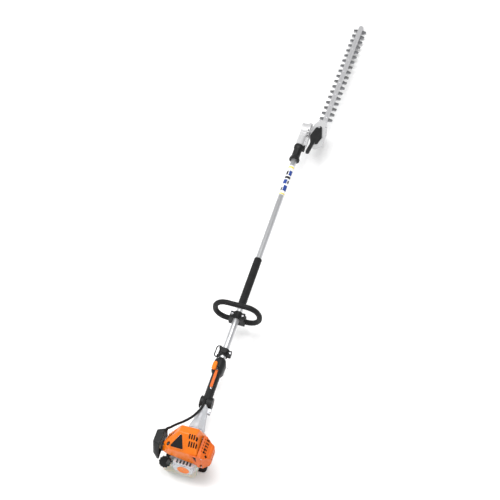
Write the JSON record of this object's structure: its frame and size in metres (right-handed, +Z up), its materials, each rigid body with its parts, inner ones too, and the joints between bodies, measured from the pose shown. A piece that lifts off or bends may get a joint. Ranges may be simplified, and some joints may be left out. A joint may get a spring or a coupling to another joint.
{
  "type": "pole hedge trimmer",
  "caption": "Long-reach hedge trimmer: small petrol engine, loop and control handles, straight shaft and a tilting double-sided cutter.",
  "frame": {"origin": "on the support foot's flat underside, where it meets the floor straight below the cylinder's axis", "axes": "+X along the level shaft towards the cutter, +Z up, +Y the air filter side; the muffler and the cutter are on the -Y side"},
  "size_m": [2.4923, 0.239, 0.2329],
  "materials": {
    "orange_cover": "satin",
    "orange_guard": "satin",
    "black_plastic": "fine texture",
    "handle_plastic": "fine texture",
    "black_rubber": "matt",
    "tank_plastic": "translucent",
    "filter_paper": "matt",
    "grey_casting": "satin",
    "head_casting": "satin",
    "bare_aluminium": "cast",
    "shaft_metal": "anodised",
    "label_foil": "printed",
    "steel": "machined",
    "heat_steel": "heat tinted",
    "screw_steel": "plated",
    "blade_steel": "ground",
    "bar_metal": "satin",
    "ceramic": "glazed",
    "dark_plastic": "satin"
  },
  "bodies": {
    "frame": {"engine_shroud": "orange_cover", "muffler_guard": "orange_guard", "air_filter_cover": "black_plastic", "air_filter_element": "filter_paper", "filter_housing": "black_plastic", "carburettor": "bare_aluminium", "intake_flange": "black_plastic", "fuel_tank": "tank_plastic", "starter_housing": "grey_casting", "starter_badge": "orange_cover", "crankcase_rear": "grey_casting", "crankcase_front": "grey_casting", "crank_bearings": "steel", "cylinder": "bare_aluminium", "spark_plug": "ceramic", "spark_plug_cap": "black_plastic", "ignition_module": "dark_plastic", "muffler": "heat_steel", "fan_housing": "grey_casting", "clutch_housing": "grey_casting", "support_foot": "black_plastic", "throttle_conduit": "black_rubber", "shaft_tube": "shaft_metal", "shaft_bushes": "dark_plastic", "handle_left": "handle_plastic", "handle_right": "handle_plastic", "ring_clamp": "black_plastic", "loop_handle": "black_rubber", "loop_clamp": "black_plastic", "clamp_screws": "screw_steel", "hose_grip": "black_rubber", "label_sleeve": "label_foil", "gear_housing": "head_casting"},
    "crank_train": {"crankshaft": "steel", "flywheel": "bare_aluminium", "clutch_shoes": "steel"},
    "piston_and_rod": {"piston": "bare_aluminium", "connecting_rod": "steel"},
    "drive_train": {"clutch_drum": "steel", "drive_shaft": "steel"},
    "cross_gear": {"cross_shaft": "steel"},
    "head": {"quadrant": "head_casting", "blade_gear_housing": "head_casting", "gearbox_cover": "black_plastic", "adjusting_lever": "black_plastic", "base_plate": "head_casting", "blade_bar": "bar_metal"},
    "eccentric": {"crank_gear": "steel"},
    "blade_upper": {"upper_blade": "blade_steel"},
    "blade_lower": {"lower_blade": "blade_steel"},
    "recoil_pulley": {"starter_pulley": "dark_plastic"},
    "recoil_grip": {"starter_grip": "black_plastic"},
    "trigger": {"throttle_trigger": "orange_guard"},
    "lockout": {"trigger_lockout": "orange_guard"},
    "switch": {"stop_switch": "orange_cover"},
    "choke": {"choke_lever": "black_plastic"},
    "primer": {"primer_bulb": "black_rubber"},
    "cap": {"fuel_cap": "black_plastic"},
    "sling_ring": {"carrying_ring": "screw_steel"},
    "lock": {"lock_sleeve": "black_plastic"}
  },
  "joints": [
    {"name": "crank_spin", "type": "hinge", "parent": "frame", "child": "crank_train", "pos_m": [0.05, 0, 0.118], "axis": [1, 0, 0], "continuous": true},
    {"name": "piston_slide", "type": "slide", "parent": "frame", "child": "piston_and_rod", "axis": [0, 0, 1], "range_m": [-0.028, 0]},
    {"name": "drive_spin", "type": "hinge", "parent": "frame", "child": "drive_train", "pos_m": [0.8, 0, 0.118], "axis": [1, 0, 0], "continuous": true},
    {"name": "cross_spin", "type": "hinge", "parent": "frame", "child": "cross_gear", "pos_m": [1.62, 0, 0.118], "axis": [0, 1, 0], "continuous": true},
    {"name": "head_tilt", "type": "hinge", "parent": "frame", "child": "head", "pos_m": [1.62, -0.021, 0.118], "axis": [0, 1, 0], "range_deg": [-60, 80]},
    {"name": "eccentric_spin", "type": "hinge", "parent": "head", "child": "eccentric", "pos_m": [1.62, -0.066, 0.118], "axis": [0.1145, 0, 0.9934], "continuous": true},
    {"name": "upper_blade_slide", "type": "slide", "parent": "head", "child": "blade_upper", "axis": [0.9934, 0, -0.1145], "range_m": [-0.0085, 0.0085]},
    {"name": "lower_blade_slide", "type": "slide", "parent": "head", "child": "blade_lower", "axis": [0.9934, 0, -0.1145], "range_m": [-0.0085, 0.0085]},
    {"name": "starter_pull", "type": "slide", "parent": "frame", "child": "recoil_grip", "axis": [-0.4698, 0.8138, 0.342], "range_m": [0, 0.45], "stiffness_N_per_m": 15, "springref_m": -0.2},
    {"name": "starter_pulley_spin", "type": "hinge", "parent": "frame", "child": "recoil_pulley", "pos_m": [-0.058, 0, 0.118], "axis": [1, 0, 0], "range_deg": [-900, 900]},
    {"name": "throttle_pull", "type": "hinge", "parent": "frame", "child": "trigger", "pos_m": [0.338, 0, 0.094], "axis": [0, 1, 0], "range_deg": [0, 14], "stiffness_Nm_per_rad": 0.5, "springref_deg": -17.19},
    {"name": "lockout_press", "type": "hinge", "parent": "frame", "child": "lockout", "pos_m": [0.328, 0, 0.14], "axis": [0, -1, 0], "range_deg": [0, 3], "stiffness_Nm_per_rad": 0.5, "springref_deg": -17.19},
    {"name": "stop_press", "type": "slide", "parent": "frame", "child": "switch", "axis": [0, -0.3746, -0.9272], "range_m": [0, 0.003], "stiffness_N_per_m": 600, "springref_m": -0.002},
    {"name": "choke_turn", "type": "hinge", "parent": "frame", "child": "choke", "pos_m": [-0.05, 0.083, 0.116], "axis": [1, 0, 0], "range_deg": [-40, 0]},
    {"name": "primer_press", "type": "slide", "parent": "frame", "child": "primer", "axis": [1, 0, 0], "range_m": [0, 0.005], "stiffness_N_per_m": 500, "springref_m": -0.001},
    {"name": "cap_unscrew", "type": "hinge", "parent": "frame", "child": "cap", "pos_m": [-0.066, 0.082, 0.056], "axis": [-0.6157, 0, 0.788], "range_deg": [0, 90]},
    {"name": "ring_swing", "type": "hinge", "parent": "frame", "child": "sling_ring", "pos_m": [0.425, 0.02, 0.122], "axis": [1, 0, 0], "range_deg": [-50, 60]},
    {"name": "lock_release", "type": "slide", "parent": "frame", "child": "lock", "axis": [-1, 0, 0], "range_m": [0, 0.012], "stiffness_N_per_m": 800, "springref_m": -0.004}
  ],
  "couplings": [
    {"joint": "cross_spin", "follows": "drive_spin", "ratio": -0.6},
    {"joint": "eccentric_spin", "follows": "drive_spin", "ratio": -0.24},
    {"joint": "lower_blade_slide", "follows": "upper_blade_slide", "ratio": -1},
    {"joint": "starter_pulley_spin", "follows": "starter_pull", "rad_per_m": -33.333}
  ]
}
